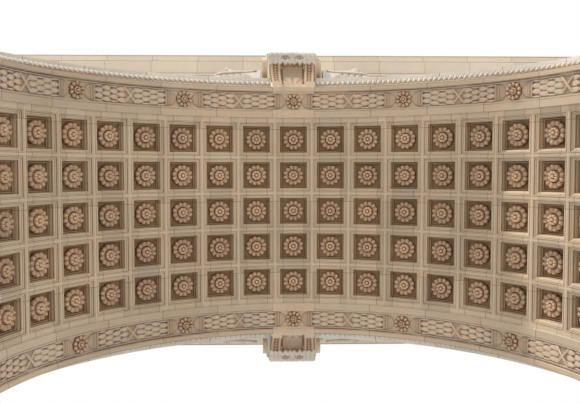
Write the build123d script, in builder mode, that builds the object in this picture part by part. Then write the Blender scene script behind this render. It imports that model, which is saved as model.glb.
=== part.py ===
from build123d import *
from math import cos, degrees, pi, radians, sin, sqrt
import os

# A triumphal arch in pale marble: a coffered barrel vault between two piers, with carved soffit
# bands, moulded archivolts, scrolled keystones, an entablature and an attic.
# Millimetres. +Z is up and the origin lies on the ground in the middle of the passage. X runs
# across the span, and the front faces -Y.

# Passage and vault
opening_radius = 4700
springing_height = 9800
vault_half_depth = 1900
vault_thickness = 600
vault_end_margin = 3.55

# Coffers: square recesses with a stepped and splayed frame, a ledge and a sunk back panel
coffer_columns = 19
coffer_rows = 5
coffer_row_pitch = 730
rib_width = 88
frame_step = 15
splay_width = 60
recess_depth = 165
back_step_width = 64
back_step_depth = 25
cutter_reach = 60
joint_margin = 8

# Rosettes in the coffers
rosette_radius = 196
rosette_waist = 0.87
rosette_petals = 12
rosette_rise = 95
heart_radius = 88
heart_rise = 55

# Soffit bands and archivolts, with depths measured outwards from the vault
band_drop = 40
band_margin = 160
band_panel_width = 320
band_panel_depth = 34
band_outer_fillet = 50
arris_width = 80
arris_drop = 25
fascia_height = 265
fascia_step = 36
egg_height = 170
egg_projection = 140
archivolt_lip = 95
archivolt_lip_height = 120

# Laurel bundles and small rosettes in the soffit bands
coffers_between_rosettes = 3
small_rosette_radius = 152
small_rosette_petals = 10
small_rosette_rise = 46
small_rosette_heart = 66
small_heart_rise = 26
seat_clearance = 0.3
bundle_rise = 30
bundle_side_gap = 12
bundle_tip_gap = 6
bundle_cap_length = 120

# Keystones
keystone_half_angle = 5.2
keystone_projection = 920
keystone_foot_height = 150
keystone_foot_projection = 120
leaf_height = 890
leaf_projection = 830
leaf_curl = 70
volute_radius = 330
volute_start = 240
channel_half_width = 230
channel_depth = 45
eye_radius = 250
eye_projection = 85

# Piers
pier_width = 3810
wall_face = 2510
wall_recess = 110
corner_strip = 860
panel_end_strip = 420
panel_step = 70
panel_step_depth = 40
plinth_height = 450
plinth_projection = 360
plinth_chamfer = 60
pedestal_projection = 130
pedestal_foot = 150
pedestal_hollow = 120
pedestal_dado = 1560
pedestal_round = 100
pedestal_cap = 120
impost_neck = 330
impost_round = 110
impost_corona = 190
impost_cyma = 160
impost_fillet = 60

# Walls above the springing
crown_wall_half_width = 2200
spandrel_side = 5900
spandrel_frame = 400
wall_top = 16600
top_frame = 250
wall_panel_foot = 650

# Carving in the spandrels, with heights from the springing: a wreath, a palm branch and a ribbon
wreath_x = 4600
wreath_height = 5250
wreath_radius = 1150
wreath_band = 330
wreath_rise = 210
palm_start = 690
palm_end = 3550
palm_tip = 1450
palm_foot = 5080
palm_top = 6330
palm_rise = 710
palm_dip = 585
ribbon_foot = 2500
ribbon_rise = 110

# Entablature
architrave_projection = 30
architrave_fascia = 150
architrave_step = 30
architrave_moulding = 90
architrave_lip = 50
frieze_height = 550
frieze_set_back = 60
bed_round = 110
dentil_height = 150
dentil_projection = 110
dentil_width = 150
dentil_gap = 100
shelf_overhang = 640
shelf_height = 200
shelf_round = 90
shelf_round_height = 150
corona_overhang = 320
corona_height = 170
corona_fillet = 30
cyma_height = 150
cyma_projection = 175
cornice_lip = 60

# Attic
attic_set_back = 60
attic_foot = 330
attic_foot_projection = 140
attic_foot_hollow = 110
attic_wall_height = 2700
attic_strip = 1000
attic_recess = 100
attic_border = 320
inscription_half_width = 3300
attic_round = 120
attic_corona = 170
attic_corona_overhang = 260
attic_cyma = 130
blocking_height = 420
blocking_set_back = 140

os.makedirs("parts", exist_ok=True)

# Values worked out from the sizes above
pier_half_width = pier_width / 2
pier_centre = opening_radius + pier_half_width
outer_face = opening_radius + pier_width
recess_face = wall_face - wall_recess
coffer_pitch_angle = (180 - 2 * vault_end_margin) / coffer_columns
coffer_pitch_arc = radians(coffer_pitch_angle) * opening_radius
frame_across = coffer_pitch_arc - rib_width
frame_along = coffer_row_pitch - rib_width
vault_outer_radius = opening_radius + vault_thickness
back_radius = opening_radius + recess_depth + back_step_depth
soffit_radius = opening_radius - band_drop
band_panel_inner = vault_half_depth + band_margin
band_panel_outer = band_panel_inner + band_panel_width
band_outer = band_panel_outer + band_outer_fillet
band_edge = band_outer + arris_width
arris_radius = soffit_radius - arris_drop
egg_radius = arris_radius + 2 * fascia_height
crest_radius = egg_radius + egg_height + archivolt_lip_height
band_panel_radius = soffit_radius + band_panel_depth
band_middle = (band_panel_inner + band_panel_outer) / 2
bundle_pitch_angle = coffers_between_rosettes * coffer_pitch_angle
bundle_count = int(90 / bundle_pitch_angle)
panel_half_width = frame_across / 2 - splay_width - back_step_width
stone_joint_angle = degrees((panel_half_width + joint_margin) / opening_radius)
spring_centre = (0, 0, springing_height)
spring_axis = Axis(spring_centre, (0, 1, 0))
across_spring = Plane(origin=spring_centre, x_dir=(1, 0, 0), z_dir=(0, -1, 0))


# Draws a moulding upwards from start. Each step names its form and says how far it runs out and up.
def moulding(start, steps):
    here = Vector(*start)
    for form, out, up in steps:
        there = here + Vector(out, up)
        bulge = (there - here).length * 0.2
        if form == "round":
            SagittaArc(here, there, -bulge)
        elif form == "hollow":
            SagittaArc(here, there, bulge)
        elif form == "cyma":
            middle = (here + there) * 0.5
            SagittaArc(here, middle, bulge / 2)
            SagittaArc(middle, there, -bulge / 2)
        else:
            Line(here, there)
        here = there
    return here


def height_of(steps):
    return sum(up for form, out, up in steps)


# The cross-section of a course: a moulding up both edges, flat above and below.
def course_section(plane, half_width, base, steps):
    with BuildSketch(plane) as section:
        with BuildLine():
            top = moulding((half_width, base), steps)
            Line((0, base), (half_width, base))
            Line(top, (0, top.Y))
            mirror(about=Plane.YZ)
        make_face()
    return section.sketch


# A course of masonry whose moulded edge runs round all four sides.
def moulded_course(centre_x, half_width, half_depth, base, steps):
    reach = 2 * (half_width + half_depth)
    across = Plane(origin=(centre_x, 0, 0), x_dir=(1, 0, 0), z_dir=(0, -1, 0))
    along = Plane(origin=(centre_x, 0, 0), x_dir=(0, 1, 0), z_dir=(1, 0, 0))
    with BuildPart() as course:
        extrude(course_section(along, half_depth, base, steps), amount=reach, both=True)
        extrude(
            course_section(across, half_width, base, steps), amount=reach, both=True, mode=Mode.INTERSECT
        )
    return course


# An upright plane at a given place, whose X runs along the wall and whose normal points outwards.
def face_plane(origin, outwards):
    along = Vector(0, 0, 1).cross(Vector(*outwards))
    return Plane(origin=origin, x_dir=along, z_dir=outwards)


# The plane across the vault at an angle from the crown, with X outwards to one side and Y radial.
def radial_plane(angle, side):
    return Plane(
        origin=spring_centre,
        x_dir=(0, side, 0),
        z_dir=(side * cos(radians(angle)), 0, -side * sin(radians(angle))),
    )


# Where a piece of the vault goes: its own frame has the spring line as Y and the crown up Z.
def turned(angle):
    return Location(spring_centre, (0, angle, 0))


# A sector of a ring about the plane's origin, with its angles from the crown towards +X.
def ring_sector(plane, inner, outer, start, end):
    with BuildSketch(plane) as section:
        with BuildLine():
            low = CenterArc((0, 0), inner, 90 - start, start - end)
            high = CenterArc((0, 0), outer, 90 - start, start - end)
            Line(low @ 0, high @ 0)
            Line(low @ 1, high @ 1)
        make_face()
    return section.sketch


def finish(piece, name):
    piece.part.label = name
    export_step(piece.part, f"parts/{name}.step")


# Piers

plinth_steps = [("flat", 0, plinth_height - plinth_chamfer), ("flat", -plinth_chamfer, plinth_chamfer)]
pedestal_steps = [
    ("flat", 0, pedestal_foot),
    ("hollow", -pedestal_hollow, pedestal_hollow),
    ("flat", 0, pedestal_dado),
    ("round", pedestal_round, pedestal_round),
    ("flat", 0, pedestal_cap),
]
impost_steps = [
    ("flat", 0, impost_neck),
    ("round", impost_round, impost_round),
    ("flat", 0, impost_corona),
    ("cyma", impost_cyma, impost_cyma),
    ("flat", 0, impost_fillet),
]
shaft_base = plinth_height + height_of(pedestal_steps)
shaft_top = springing_height - height_of(impost_steps)


def plinth(side):
    return moulded_course(
        side * pier_centre,
        pier_half_width + plinth_projection,
        wall_face + plinth_projection,
        0,
        plinth_steps,
    )


def pedestal(side):
    foot = pedestal_projection + pedestal_hollow
    return moulded_course(
        side * pier_centre,
        pier_half_width + foot,
        wall_face + foot,
        plinth_height,
        pedestal_steps,
    )


# A sunk panel with a step round its edge, cut into the solid under the given face.
def sink_panel(plane, width, height, depth):
    with BuildSketch(plane) as border:
        Rectangle(width, height)
    extrude(border.sketch, amount=-depth + panel_step_depth, mode=Mode.SUBTRACT)
    with BuildSketch(plane) as field:
        Rectangle(width - 2 * panel_step, height - 2 * panel_step)
    extrude(field.sketch, amount=-depth, mode=Mode.SUBTRACT)


def pier_shaft(side):
    height = shaft_top - shaft_base
    middle = shaft_base + height / 2
    panel_height = height - 2 * panel_end_strip
    with BuildPart() as shaft:
        with Locations((side * pier_centre, 0, middle)):
            Box(pier_width, 2 * wall_face, height)
        for out in (-1, 1):
            front = face_plane((side * pier_centre, out * wall_face, middle), (0, out, 0))
            sink_panel(front, pier_width - 2 * corner_strip, panel_height, wall_recess)
            flank_x = side * pier_centre + out * pier_half_width
            flank = face_plane((flank_x, 0, middle), (out, 0, 0))
            sink_panel(flank, 2 * (wall_face - corner_strip), panel_height, wall_recess)
    return shaft


def impost(side):
    return moulded_course(
        side * pier_centre, pier_half_width, wall_face, shaft_top, impost_steps
    )


# Vault

# The hollow of one coffer, from the open air inside the vault out to its back panel.
with BuildPart() as coffer_hollow:
    with BuildSketch(Plane.XY.offset(-cutter_reach)):
        Rectangle(frame_across, frame_along)
    extrude(amount=cutter_reach + frame_step)
    with BuildSketch(Plane.XY.offset(frame_step)):
        Rectangle(frame_across, frame_along)
    extrude(amount=splay_width, taper=45)
    with BuildSketch(Plane.XY.offset(frame_step + splay_width)):
        Rectangle(frame_across - 2 * splay_width, frame_along - 2 * splay_width)
    extrude(amount=recess_depth - frame_step - splay_width)
    with BuildSketch(Plane.XY.offset(recess_depth)):
        Rectangle(
            frame_across - 2 * (splay_width + back_step_width),
            frame_along - 2 * (splay_width + back_step_width),
        )
    extrude(amount=back_step_depth)

row_depths = [(row - (coffer_rows - 1) / 2) * coffer_row_pitch for row in range(coffer_rows)]
column_angles = [
    (column - (coffer_columns - 1) / 2) * coffer_pitch_angle for column in range(coffer_columns)
]


rib_angles = [angle + coffer_pitch_angle / 2 for angle in column_angles[:-1]]


# One course of the vault from front to back, between two radial joints, with its share of coffers.
def vault_stone(start, end, coffers):
    places = [
        Location((0, 0, 0), (0, angle, 0)) * Location((0, depth, opening_radius))
        for angle in coffers
        for depth in row_depths
    ]
    with BuildPart() as stone:
        extrude(
            ring_sector(Plane.XZ, opening_radius, vault_outer_radius, start, end),
            amount=vault_half_depth,
            both=True,
        )
        with Locations(*places):
            add(coffer_hollow.part, mode=Mode.SUBTRACT)
    return stone


# Joints run along the vault in line with the back panels: coffer stones, and rib stones between them.
coffer_stone = vault_stone(-stone_joint_angle, stone_joint_angle, [0])
rib_stone = vault_stone(
    stone_joint_angle - coffer_pitch_angle / 2,
    coffer_pitch_angle / 2 - stone_joint_angle,
    [-coffer_pitch_angle / 2, coffer_pitch_angle / 2],
)
springer_left = vault_stone(-90, column_angles[0] - stone_joint_angle, [column_angles[0]])
springer_right = vault_stone(column_angles[-1] + stone_joint_angle, 90, [column_angles[-1]])


# A group of like stones that stand apart, each turned to its angle.
def stone_group(stone, angles, springers):
    with BuildPart() as group:
        with Locations(*[turned(angle) for angle in angles]):
            add(stone.part)
        for springer in springers:
            with Locations(turned(0)):
                add(springer.part)
    return group


# An outline of rounded petals drawn with straight flats: a tip and a waist for each petal.
def petal_outline(radius, petals):
    with BuildSketch() as outline:
        with BuildLine():
            Polyline(
                *[
                    ((radius if corner % 2 == 0 else radius * rosette_waist) * cos(corner * pi / petals),
                     (radius if corner % 2 == 0 else radius * rosette_waist) * sin(corner * pi / petals))
                    for corner in range(2 * petals)
                ],
                close=True,
            )
        make_face()
    return outline.sketch


# A flower with a raised heart, standing on its plane.
def flower(radius, petals, rise, heart, heart_up):
    with BuildPart() as bloom:
        extrude(petal_outline(radius, petals), amount=rise)
        with BuildSketch(Plane.XY.offset(rise)):
            RegularPolygon(heart, 6)
        extrude(amount=heart_up)
    return bloom


def rosette_row(row):
    bloom = flower(rosette_radius, rosette_petals, rosette_rise, heart_radius, heart_rise)
    with BuildPart() as rosettes:
        places = [
            turned(angle) * Location((0, row_depths[row], back_radius), (180, 0, 0))
            for angle in column_angles
        ]
        with Locations(*places):
            add(bloom.part)
    return rosettes


# Archivolts and soffit bands

# The soffit of the band, from the vault out to the arris: a plain margin, a sunk panel and a roll.
def soffit_line():
    return [
        (vault_half_depth, soffit_radius),
        (band_panel_inner, soffit_radius),
        (band_panel_inner, band_panel_radius),
        (band_panel_outer, band_panel_radius),
        (band_panel_outer, soffit_radius),
        (band_outer, soffit_radius),
        (band_outer, arris_radius),
        (band_edge, arris_radius),
    ]


def archivolt_section(plane):
    second_fascia = band_edge + fascia_step
    with BuildSketch(plane) as section:
        with BuildLine():
            Polyline(
                *soffit_line(),
                (band_edge, arris_radius + fascia_height),
                (second_fascia, arris_radius + fascia_height),
                (second_fascia, egg_radius),
            )
            face = moulding(
                (second_fascia, egg_radius),
                [
                    ("round", egg_projection, egg_height),
                    ("flat", archivolt_lip, 0),
                    ("flat", 0, archivolt_lip_height),
                ],
            )
            Polyline(
                face,
                (recess_face, crest_radius),
                (recess_face, vault_outer_radius),
                (vault_half_depth, vault_outer_radius),
                (vault_half_depth, soffit_radius),
            )
        make_face()
    return section.sketch


def archivolt(side, start):
    with BuildPart() as ring:
        revolve(
            archivolt_section(radial_plane(start, side)),
            axis=spring_axis,
            revolution_arc=90 - keystone_half_angle,
        )
    return ring


# One bundle of laurel on the soffit panel, with a rounded cap at each end.
def laurel_bundle(depth):
    half_width = band_panel_width / 2 - bundle_side_gap
    half_length = radians(bundle_pitch_angle / 2) * band_panel_radius
    tip = half_length - small_rosette_radius - bundle_tip_gap
    shoulder = tip - bundle_cap_length
    tip_angle = degrees(tip / band_panel_radius)
    with BuildPart() as bundle:
        extrude(
            ring_sector(
                Plane.XZ.offset(-depth),
                band_panel_radius - bundle_rise,
                band_panel_radius,
                -tip_angle,
                tip_angle,
            ),
            amount=half_width,
            both=True,
        )
        with BuildSketch(Plane(origin=(0, depth, soffit_radius - vault_thickness))):
            with BuildLine():
                ThreePointArc((shoulder, half_width), (tip, 0), (shoulder, -half_width))
                Line((shoulder, -half_width), (-shoulder, -half_width))
                ThreePointArc((-shoulder, -half_width), (-tip, 0), (-shoulder, half_width))
                Line((-shoulder, half_width), (shoulder, half_width))
            make_face()
        extrude(amount=2 * vault_thickness, mode=Mode.INTERSECT)
    return bundle


def laurel_bundles(side):
    bundle = laurel_bundle(side * band_middle)
    angles = [(step + 0.5) * bundle_pitch_angle for step in range(-bundle_count, bundle_count)]
    with BuildPart() as bundles:
        with Locations(*[turned(angle) for angle in angles]):
            add(bundle.part)
    return bundles


# The small rosettes have flat backs, so their petal tips touch the curved panel.
def band_rosettes(side):
    bloom = flower(
        small_rosette_radius, small_rosette_petals,
        small_rosette_rise, small_rosette_heart, small_heart_rise,
    )
    seat = sqrt(band_panel_radius**2 - small_rosette_radius**2) - seat_clearance
    places = [
        turned(step * bundle_pitch_angle) * Location((0, side * band_middle, seat), (180, 0, 0))
        for step in range(-bundle_count, bundle_count + 1)
    ]
    with BuildPart() as rosettes:
        with Locations(*places):
            add(bloom.part)
    return rosettes


# Keystones

keystone_top = wall_top - top_frame


# The side view of a console: a stepped foot, a leaf that curls out below, and a volute above it.
def console_section(plane):
    foot_base = springing_height + arris_radius
    foot_front = band_edge + keystone_foot_projection
    outer = wall_face + keystone_projection
    volute_centre = keystone_top - volute_radius
    leaf_out = wall_face + leaf_projection
    leaf_base = foot_base + leaf_height
    with BuildSketch(plane) as section:
        with BuildLine():
            Polyline(
                (recess_face, keystone_top),
                (recess_face, foot_base),
                (band_edge, foot_base),
                (foot_front, foot_base + keystone_foot_height / 2),
                (foot_front, foot_base + keystone_foot_height),
            )
            leaf = Spline(
                (foot_front, foot_base + keystone_foot_height),
                (leaf_out - leaf_curl, leaf_base),
                tangents=((0, 1), (1, 0)),
            )
            curl = ThreePointArc(
                leaf @ 1,
                (leaf_out, leaf_base + leaf_curl),
                (leaf_out - leaf_curl, leaf_base + 2 * leaf_curl),
            )
            volute = CenterArc(
                (outer - volute_radius, volute_centre), volute_radius, volute_start, 450 - volute_start
            )
            Line(curl @ 1, volute @ 0)
            Line(volute @ 1, (recess_face, keystone_top))
        make_face()
    return section.sketch


# What is cut from the front of a console to leave a raised border down each edge.
def console_channel(profile, side):
    with BuildPart() as blank:
        extrude(profile, amount=channel_half_width, both=True)
    with BuildPart() as channel:
        add(blank.part)
        with Locations((0, -side * channel_depth, channel_depth)):
            add(blank.part, mode=Mode.SUBTRACT)
    return channel


def keystone(side):
    start = -keystone_half_angle
    profile_plane = Plane(origin=(0, 0, 0), x_dir=(0, side, 0), z_dir=(side, 0, 0))
    outer = wall_face + keystone_projection
    volute_radial = keystone_top - volute_radius - springing_height
    eye_reach = volute_radial * sin(radians(keystone_half_angle)) + eye_projection
    profile = console_section(profile_plane)
    channel = console_channel(profile, side)
    with BuildPart() as stone:
        extrude(profile, amount=opening_radius, both=True)
        extrude(
            ring_sector(across_spring, arris_radius, wall_top - springing_height, start, -start),
            amount=outer + volute_radius,
            both=True,
            mode=Mode.INTERSECT,
        )
        add(channel.part, mode=Mode.SUBTRACT)
        with BuildSketch(profile_plane):
            with Locations((outer - volute_radius, keystone_top - volute_radius)):
                Circle(eye_radius)
        extrude(amount=eye_reach, both=True)
        with BuildSketch(radial_plane(start, side)):
            with BuildLine():
                Polyline(
                    *soffit_line(),
                    (band_edge, vault_outer_radius),
                    (vault_half_depth, vault_outer_radius),
                    close=True,
                )
            make_face()
        revolve(axis=spring_axis, revolution_arc=2 * keystone_half_angle)
    return stone


# Walls above the springing

def wall_block(start, end):
    with BuildPart() as wall:
        with Locations(((start + end) / 2, 0, (springing_height + wall_top) / 2)):
            Box(end - start, 2 * wall_face, wall_top - springing_height)
        with BuildSketch(Plane.XZ):
            with Locations((0, springing_height)):
                Circle(vault_outer_radius)
        extrude(amount=2 * wall_face, both=True, mode=Mode.SUBTRACT)
        for out in (-1, 1):
            height = wall_top - top_frame - springing_height
            field = face_plane((0, out * wall_face, springing_height + height / 2), (0, out, 0))
            with BuildSketch(field):
                Rectangle(2 * spandrel_side, height)
            extrude(amount=-wall_recess, mode=Mode.SUBTRACT)
    return wall


def side_wall(side):
    inner, outer = crown_wall_half_width, outer_face
    start, end = (inner, outer) if side > 0 else (-outer, -inner)
    wall = wall_block(start, end)
    panel_start = spandrel_side + spandrel_frame
    panel_width = outer_face - corner_strip - panel_start
    panel_base = springing_height + wall_panel_foot
    panel_height = wall_top - top_frame - panel_base
    middle = panel_base + panel_height / 2
    with BuildPart() as panelled:
        add(wall.part)
        for out in (-1, 1):
            centre_x = side * (panel_start + panel_width / 2)
            sink_panel(
                face_plane((centre_x, out * wall_face, middle), (0, out, 0)),
                panel_width, panel_height, wall_recess,
            )
        sink_panel(
            face_plane((side * outer_face, 0, middle), (side, 0, 0)),
            2 * (wall_face - corner_strip), panel_height, wall_recess,
        )
    return panelled


# Carving in the spandrels, drawn as if on the ground: X along the wall, Y up from the springing.

# A half-round wreath lying on its wall.
def wreath(hand):
    centre = (hand * wreath_x, wreath_height, 0)
    with BuildPart() as ring:
        with BuildSketch(Plane(origin=centre, x_dir=(1, 0, 0), z_dir=(0, -1, 0))):
            with BuildLine():
                Line((wreath_radius - wreath_band, 0), (wreath_radius, 0))
                ThreePointArc(
                    (wreath_radius, 0),
                    (wreath_radius - wreath_band / 2, wreath_rise),
                    (wreath_radius - wreath_band, 0),
                )
            make_face()
        revolve(axis=Axis(centre, (0, 0, 1)))
    return ring


# A palm branch that bends from the wreath to the keystone and curls out from the wall at its tip.
def palm(hand):
    with BuildPart() as branch:
        with BuildSketch():
            with BuildLine():
                low = Spline(
                    (hand * palm_start, palm_foot + 700),
                    (hand * palm_tip, palm_foot + 540),
                    (hand * palm_end, palm_foot),
                )
                high = Spline(
                    (hand * palm_start, palm_top),
                    (hand * palm_tip, palm_top),
                    (hand * palm_end, palm_foot + 340),
                )
                Line(low @ 0, high @ 0)
                Line(low @ 1, high @ 1)
            make_face()
        extrude(amount=palm_rise)
        with BuildSketch(Plane.XZ.offset(-palm_top)):
            with BuildLine():
                edge = Spline(
                    (hand * palm_start, palm_rise - 50),
                    (hand * (palm_start + palm_tip) / 2, palm_dip),
                    (hand * palm_tip, palm_rise),
                )
                Polyline(
                    edge @ 1,
                    (hand * (palm_tip + 60), palm_rise - 60),
                    (hand * (palm_tip + 380), palm_rise / 2),
                    (hand * palm_end, palm_rise / 4),
                    (hand * palm_end, 0),
                    (hand * palm_start, 0),
                    edge @ 0,
                )
            make_face()
        extrude(amount=palm_top, mode=Mode.INTERSECT)
        with BuildSketch(Plane.YZ):
            Polygon(
                (palm_foot - 80, 0),
                (palm_top, 0),
                (palm_top, palm_rise),
                (palm_top - 180, palm_rise),
                (palm_foot + 520, palm_rise * 0.37),
                (palm_foot - 80, palm_rise / 4),
                align=None,
            )
        extrude(amount=palm_end, both=True, mode=Mode.INTERSECT)
    return branch


# A ribbon that falls from the wreath beside the arch.
def ribbon(hand):
    middle = wreath_x + wreath_radius * 0.75
    length = wreath_height - wreath_radius / 2 - ribbon_foot
    with BuildPart() as band:
        with BuildSketch():
            with BuildLine():
                inner = Spline(
                    (hand * (middle - 130), ribbon_foot + length),
                    (hand * middle, ribbon_foot + length * 0.7),
                    (hand * (middle - 90), ribbon_foot + length * 0.35),
                    (hand * middle, ribbon_foot),
                )
                outer = Spline(
                    (hand * (middle + 50), ribbon_foot + length),
                    (hand * (middle + 170), ribbon_foot + length * 0.7),
                    (hand * (middle + 60), ribbon_foot + length * 0.35),
                    (hand * (middle + 190), ribbon_foot + 120),
                )
                Line(inner @ 0, outer @ 0)
                Line(inner @ 1, outer @ 1)
            make_face()
        extrude(amount=ribbon_rise)
    return band


# The face's own X runs the other way on the back, so the hand is turned over there.
def spandrel_relief(side, towards):
    hand = -side * towards
    place = face_plane((0, side * recess_face, springing_height), (0, side, 0)).location
    with BuildPart() as carving:
        with Locations(place):
            add(wreath(hand).part)
            add(palm(hand).part)
            add(ribbon(hand).part)
    return carving


# Entablature

architrave_steps = [
    ("flat", 0, architrave_fascia),
    ("flat", architrave_step, 0),
    ("flat", 0, architrave_fascia),
    ("flat", architrave_step, 0),
    ("flat", 0, architrave_fascia),
    ("cyma", architrave_moulding, architrave_moulding),
    ("flat", 0, architrave_lip),
]
frieze_base = wall_top + height_of(architrave_steps)
bed_base = frieze_base + frieze_height
bed_steps = [("round", bed_round, bed_round), ("flat", 0, dentil_height)]
corona_base = bed_base + height_of(bed_steps)
cornice_steps = [
    ("flat", shelf_overhang, 0),
    ("flat", 0, shelf_height),
    ("round", shelf_round, shelf_round_height),
    ("flat", corona_overhang, 0),
    ("flat", 0, corona_height),
    ("flat", corona_fillet, 0),
    ("flat", 0, corona_fillet),
    ("cyma", cyma_projection, cyma_height),
    ("flat", 0, cornice_lip),
]
attic_base = corona_base + height_of(cornice_steps)
frieze_reach = architrave_projection - frieze_set_back


def architrave():
    return moulded_course(
        0, outer_face + architrave_projection, wall_face + architrave_projection,
        wall_top, architrave_steps,
    )


def frieze():
    with BuildPart() as band:
        with Locations((0, 0, frieze_base + frieze_height / 2)):
            Box(2 * (outer_face + frieze_reach), 2 * (wall_face + frieze_reach), frieze_height)
    return band


# The middles of a row of dentils, from one corner to the other.
def dentil_row(reach):
    end = reach + dentil_projection - dentil_width / 2
    count = int(end / (dentil_width + dentil_gap))
    return [step * end / count for step in range(-count, count + 1)]


# The bed course carries dentils round all four sides.
def bed_course():
    half_width = outer_face + frieze_reach + bed_round
    half_depth = wall_face + frieze_reach + bed_round
    front_places = [(x, out * half_depth) for x in dentil_row(half_width) for out in (-1, 1)]
    flank_places = [(out * half_width, y) for y in dentil_row(half_depth) for out in (-1, 1)]
    course = moulded_course(0, outer_face + frieze_reach, wall_face + frieze_reach, bed_base, bed_steps)
    with BuildPart() as bed:
        add(course.part)
        with BuildSketch(Plane.XY.offset(bed_base + bed_round)):
            with Locations(*front_places):
                Rectangle(dentil_width, 2 * dentil_projection)
            with Locations(*flank_places):
                Rectangle(2 * dentil_projection, dentil_width)
        extrude(amount=dentil_height)
    return bed


def cornice():
    course = moulded_course(
        0, outer_face + frieze_reach + bed_round, wall_face + frieze_reach + bed_round,
        corona_base, cornice_steps,
    )
    return course


# Attic

attic_foot_steps = [
    ("flat", 0, attic_foot),
    ("hollow", -attic_foot_hollow, attic_foot_hollow),
]
attic_wall_base = attic_base + height_of(attic_foot_steps)
attic_top = attic_wall_base + attic_wall_height
attic_cornice_steps = [
    ("round", attic_round, attic_round),
    ("flat", attic_corona_overhang, 0),
    ("flat", 0, attic_corona),
    ("cyma", attic_cyma, attic_cyma),
    ("flat", 0, cornice_lip),
]
blocking_base = attic_top + height_of(attic_cornice_steps)
attic_half_width = outer_face - attic_set_back
attic_half_depth = wall_face - attic_set_back


def attic_foot_course():
    out = attic_foot_projection
    return moulded_course(
        0, attic_half_width + out, attic_half_depth + out, attic_base, attic_foot_steps
    )


def attic_wall():
    middle = attic_wall_base + attic_wall_height / 2
    panel_height = attic_wall_height - 2 * attic_border
    side_panel = attic_half_width - attic_strip - inscription_half_width - attic_border
    side_centre = inscription_half_width + attic_border + side_panel / 2
    with BuildPart() as wall:
        with Locations((0, 0, middle)):
            Box(2 * attic_half_width, 2 * attic_half_depth, attic_wall_height)
        for out in (-1, 1):
            for centre, width in (
                (0, 2 * inscription_half_width),
                (-side_centre, side_panel),
                (side_centre, side_panel),
            ):
                front = face_plane((centre, out * attic_half_depth, middle), (0, out, 0))
                sink_panel(front, width, panel_height, attic_recess)
            flank = face_plane((out * attic_half_width, 0, middle), (out, 0, 0))
            sink_panel(flank, 2 * (attic_half_depth - attic_strip), panel_height, attic_recess)
    return wall


def attic_cornice():
    return moulded_course(0, attic_half_width, attic_half_depth, attic_top, attic_cornice_steps)


def blocking_course():
    with BuildPart() as block:
        with Locations((0, 0, blocking_base + blocking_height / 2)):
            Box(
                2 * (attic_half_width - blocking_set_back),
                2 * (attic_half_depth - blocking_set_back),
                blocking_height,
            )
    return block


for side, hand in ((-1, "left"), (1, "right")):
    finish(plinth(side), f"plinth_{hand}")
    finish(pedestal(side), f"pedestal_{hand}")
    finish(pier_shaft(side), f"pier_{hand}")
    finish(impost(side), f"impost_{hand}")
    finish(side_wall(side), f"spandrel_wall_{hand}")

groups = {
    "left": (slice(0, 6), slice(0, 6), [springer_left]),
    "crown": (slice(6, 13), slice(6, 12), []),
    "right": (slice(13, None), slice(12, None), [springer_right]),
}
for place, (columns, ribs, springers) in groups.items():
    finish(stone_group(coffer_stone, column_angles[columns], []), f"coffer_stones_{place}")
    finish(stone_group(rib_stone, rib_angles[ribs], springers), f"rib_stones_{place}")
for row in range(coffer_rows):
    finish(rosette_row(row), f"rosettes_row_{row + 1}")

for side, face in ((-1, "front"), (1, "back")):
    finish(archivolt(side, keystone_half_angle), f"archivolt_{face}_right")
    finish(archivolt(side, -90), f"archivolt_{face}_left")
    finish(laurel_bundles(side), f"laurel_bundles_{face}")
    finish(band_rosettes(side), f"band_rosettes_{face}")
    finish(keystone(side), f"keystone_{face}")
    finish(spandrel_relief(side, -1), f"spandrel_relief_{face}_left")
    finish(spandrel_relief(side, 1), f"spandrel_relief_{face}_right")

finish(wall_block(-crown_wall_half_width, crown_wall_half_width), "crown_wall")
finish(architrave(), "architrave")
finish(frieze(), "frieze")
finish(bed_course(), "bed_course")
finish(cornice(), "cornice")
finish(attic_foot_course(), "attic_foot")
finish(attic_wall(), "attic_wall")
finish(attic_cornice(), "attic_cornice")
finish(blocking_course(), "blocking_course")
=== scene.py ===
import math

import bmesh
import bpy
from mathutils import Matrix, Vector
from mathutils.bvhtree import BVHTree


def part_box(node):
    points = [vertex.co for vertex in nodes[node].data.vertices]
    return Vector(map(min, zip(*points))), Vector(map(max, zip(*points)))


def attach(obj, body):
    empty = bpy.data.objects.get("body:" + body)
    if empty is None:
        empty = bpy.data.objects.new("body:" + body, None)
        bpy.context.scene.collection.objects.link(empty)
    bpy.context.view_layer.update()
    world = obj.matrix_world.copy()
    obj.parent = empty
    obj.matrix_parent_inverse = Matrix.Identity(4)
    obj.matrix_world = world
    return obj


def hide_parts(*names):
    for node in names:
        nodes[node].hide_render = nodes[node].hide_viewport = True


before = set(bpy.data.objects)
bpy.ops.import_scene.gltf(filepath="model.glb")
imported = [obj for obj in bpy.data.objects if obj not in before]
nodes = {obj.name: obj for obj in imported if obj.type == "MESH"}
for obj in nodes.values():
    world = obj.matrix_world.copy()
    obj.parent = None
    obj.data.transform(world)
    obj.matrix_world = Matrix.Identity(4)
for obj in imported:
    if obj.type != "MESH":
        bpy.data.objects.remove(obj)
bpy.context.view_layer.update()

# Metres. +Z is up, X runs across the span, and the front faces -Y. The arch is built round the
# spring line, which runs front to back at the height of the imposts' tops.

scene = bpy.context.scene

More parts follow.
